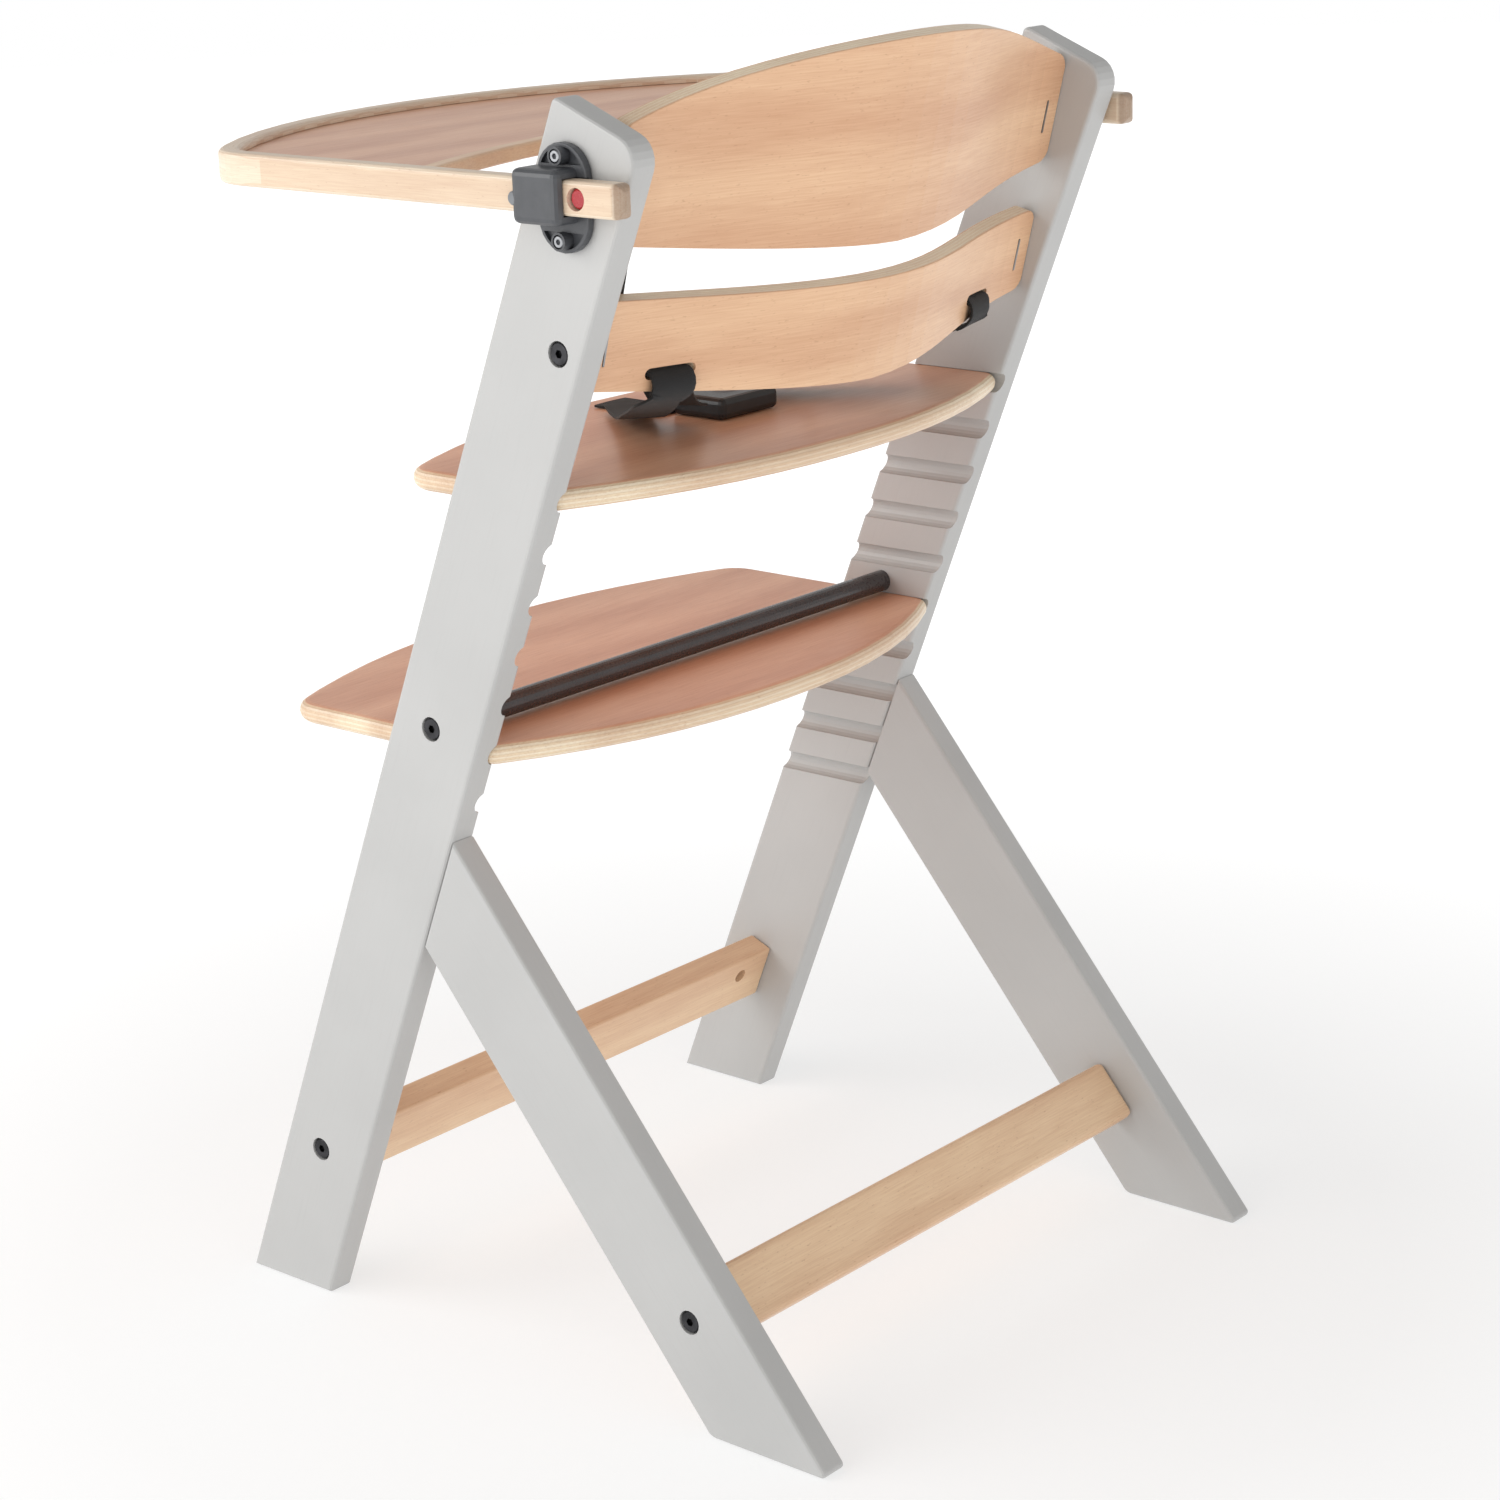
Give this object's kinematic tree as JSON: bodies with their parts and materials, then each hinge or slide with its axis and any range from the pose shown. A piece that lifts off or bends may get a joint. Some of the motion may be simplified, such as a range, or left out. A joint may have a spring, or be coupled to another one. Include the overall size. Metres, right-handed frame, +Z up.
{
  "type": "baby high chair",
  "caption": "Wooden high chair on two leaning side frames, with a grooved seat and footrest, bent back slats, a slide-on hoop tray and a lap harness.",
  "frame": {"origin": "on the floor, under the middle of the chair's bounding box", "axes": "+Z up, -Y towards the tray and the front, +X to the seated child's left"},
  "size_m": [0.512, 0.532, 0.8219],
  "materials": {
    "grey_paint": "satin light grey paint over beech",
    "beech": "clear satin lacquer",
    "beech_ply": "clear satin lacquer over bent beech plywood",
    "beech_veneer": "clear satin lacquer over beech veneer",
    "black_steel": "black powder coat or black zinc",
    "zinc_steel": "bright zinc",
    "black_plastic": "moulded, fine texture",
    "grey_plastic": "moulded",
    "red_plastic": "moulded",
    "black_webbing": "woven polyester webbing"
  },
  "bodies": {
    "frame": {"buckle_body": "black_plastic", "crossbar": "black_steel", "crossbar_bolt_left": "black_steel", "crossbar_bolt_right": "black_steel", "crotch_strap": "black_webbing", "front_stretcher": "beech", "front_stretcher_barrel_nut_left": "zinc_steel", "front_stretcher_barrel_nut_right": "zinc_steel", "front_stretcher_bolt_left": "black_steel", "front_stretcher_bolt_right": "black_steel", "lap_strap_left": "black_webbing", "lap_strap_right": "black_webbing", "latch_left": "black_plastic", "latch_right": "black_plastic", "latch_screw_lower_left": "zinc_steel", "latch_screw_lower_right": "zinc_steel", "latch_screw_upper_left": "zinc_steel", "latch_screw_upper_right": "zinc_steel", "leg_dowel_lower_left": "beech", "leg_dowel_lower_right": "beech", "leg_dowel_upper_left": "beech", "leg_dowel_upper_right": "beech", "lower_slat": "beech_ply", "lower_slat_bolt_left": "black_steel", "lower_slat_bolt_right": "black_steel", "lower_slat_nut_left": "zinc_steel", "lower_slat_nut_right": "zinc_steel", "post_left": "grey_paint", "post_right": "grey_paint", "rear_leg_left": "grey_paint", "rear_leg_right": "grey_paint", "rear_stretcher": "beech", "rear_stretcher_barrel_nut_left": "zinc_steel", "rear_stretcher_barrel_nut_right": "zinc_steel", "rear_stretcher_bolt_left": "black_steel", "rear_stretcher_bolt_right": "black_steel", "shoulder_strap_left": "black_webbing", "upper_slat": "beech_ply", "upper_slat_bolt_left": "black_steel", "upper_slat_bolt_right": "black_steel", "upper_slat_nut_left": "zinc_steel", "upper_slat_nut_right": "zinc_steel"},
    "seat": {"seat": "beech_veneer"},
    "footrest": {"footrest": "beech_veneer"},
    "tray": {"tray_hoop": "beech", "tray_panel": "beech_veneer", "tray_rear_rim": "beech", "tray_stop_pin_left": "grey_plastic", "tray_stop_pin_right": "grey_plastic", "button_spring_left": "zinc_steel", "button_spring_right": "zinc_steel"},
    "release_button_left": {"release_button_left": "red_plastic"},
    "release_button_right": {"release_button_right": "red_plastic"},
    "buckle_button": {"buckle_button": "grey_plastic"}
  },
  "joints": [
    {"name": "seat_slide", "type": "slide", "parent": "frame", "child": "seat", "axis": [0, -1, 0], "range_m": [0, 0.15]},
    {"name": "footrest_slide", "type": "slide", "parent": "frame", "child": "footrest", "axis": [0, -1, 0], "range_m": [0, 0.16]},
    {"name": "tray_slide", "type": "slide", "parent": "frame", "child": "tray", "axis": [0, -1, 0], "range_m": [0, 0.12]},
    {"name": "release_press_left", "type": "slide", "parent": "tray", "child": "release_button_left", "axis": [-1, 0, 0], "range_m": [0, 0.003], "stiffness_N_per_m": 300, "springref_m": -0.001},
    {"name": "release_press_right", "type": "slide", "parent": "tray", "child": "release_button_right", "axis": [1, 0, 0], "range_m": [0, 0.003], "stiffness_N_per_m": 300, "springref_m": -0.001},
    {"name": "buckle_press", "type": "slide", "parent": "frame", "child": "buckle_button", "axis": [0, 0, -1], "range_m": [0, 0.002], "stiffness_N_per_m": 300, "springref_m": -0.001}
  ]
}
